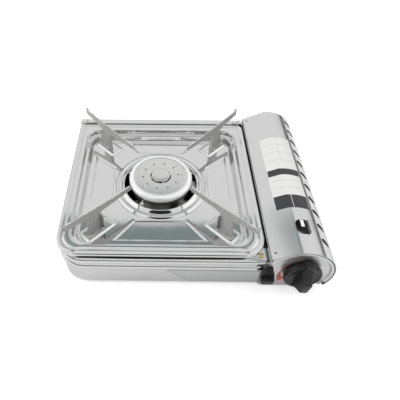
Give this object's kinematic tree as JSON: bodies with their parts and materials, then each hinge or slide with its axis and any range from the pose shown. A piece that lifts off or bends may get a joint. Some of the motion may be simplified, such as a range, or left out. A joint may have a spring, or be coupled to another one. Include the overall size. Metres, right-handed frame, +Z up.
{
  "type": "butane cassette stove",
  "caption": "Portable tabletop gas stove with a lift-off drip tray, pan supports, round burner, hinged cartridge lid, turning knob and locking lever.",
  "frame": {"origin": "on the table under the middle of the stove's bounding box", "axes": "+X to the cartridge side, +Y to the back, +Z up; knob and lever face -Y"},
  "size_m": [0.3402, 0.2866, 0.098],
  "materials": {
    "polished_sheet": "bright annealed stainless sheet, near mirror",
    "plated_sheet": "zinc-plated pressed steel",
    "rubber": "black rubber",
    "rivet_steel": "plated rivet steel",
    "burner_steel": "satin stainless, lightly brushed",
    "screw_steel": "plated screw steel",
    "ceramic": "glazed white ceramic",
    "label_film": "pale film with two dark bands, no lettering",
    "name_film": "satin silver film, blank",
    "aluminium": "mill finish",
    "zinc_casting": "as-cast zinc",
    "brass": "turned brass",
    "black_plastic": "moulded, semi-gloss black",
    "lead_sleeve": "pale silicone sleeve",
    "support_coat": "matte grey fine-textured coating on pressed steel"
  },
  "bodies": {
    "base": {"body_screws": "screw_steel", "body_shell": "polished_sheet", "burner_bracket": "plated_sheet", "burner_cap": "burner_steel", "burner_cap_button": "burner_steel", "burner_cup": "burner_steel", "burner_screws": "screw_steel", "cradle_left": "plated_sheet", "cradle_right": "plated_sheet", "electrode_bracket": "plated_sheet", "electrode_ceramic": "ceramic", "electrode_wire": "screw_steel", "flame_ring": "burner_steel", "front_panel": "polished_sheet", "gas_jet": "brass", "gas_pipe": "aluminium", "heat_plate": "aluminium", "igniter_lead": "lead_sleeve", "lead_clips": "plated_sheet", "lever_pivot": "rivet_steel", "lid_pivots": "rivet_steel", "nameplate": "name_film", "notch_key": "plated_sheet", "partition_wall": "plated_sheet", "piezo_igniter": "black_plastic", "pipe_nut": "brass", "pusher_guides": "plated_sheet", "rear_ledge": "polished_sheet", "rear_panel": "polished_sheet", "regulator_body": "zinc_casting", "regulator_bracket": "plated_sheet", "regulator_cover": "zinc_casting", "rubber_feet": "rubber"},
    "tray": {"drip_tray": "polished_sheet", "pan_support_back_left": "support_coat", "pan_support_back_right": "support_coat", "pan_support_front_left": "support_coat", "pan_support_front_right": "support_coat", "support_rivets": "rivet_steel"},
    "lid": {"lid_shell": "polished_sheet", "lid_plate": "label_film"},
    "knob": {"control_knob": "black_plastic", "knob_shaft": "screw_steel"},
    "lever": {"lock_lever": "plated_sheet", "lever_pin": "rivet_steel", "lever_grip": "black_plastic"},
    "pusher": {"cartridge_pusher": "plated_sheet"}
  },
  "joints": [
    {"name": "tray_lift", "type": "slide", "parent": "base", "child": "tray", "axis": [0, 0, 1], "range_m": [0, 0.06]},
    {"name": "lid_hinge", "type": "hinge", "parent": "base", "child": "lid", "pos_m": [0.15935, 0.01335, 0.012], "axis": [0, 1, 0], "range_deg": [0, 90]},
    {"name": "knob_turn", "type": "hinge", "parent": "base", "child": "knob", "pos_m": [0.12935, -0.12665, 0.038], "axis": [0, -1, 0], "range_deg": [0, 105]},
    {"name": "lever_press", "type": "hinge", "parent": "base", "child": "lever", "pos_m": [0.09035, -0.08665, 0.034], "axis": [1, 0, 0], "range_deg": [0, 14]},
    {"name": "pusher_slide", "type": "slide", "parent": "base", "child": "pusher", "axis": [0, -1, 0], "range_m": [0, 0.004]}
  ],
  "couplings": [
    {"joint": "pusher_slide", "follows": "lever_press", "m_per_rad": 0.016}
  ]
}
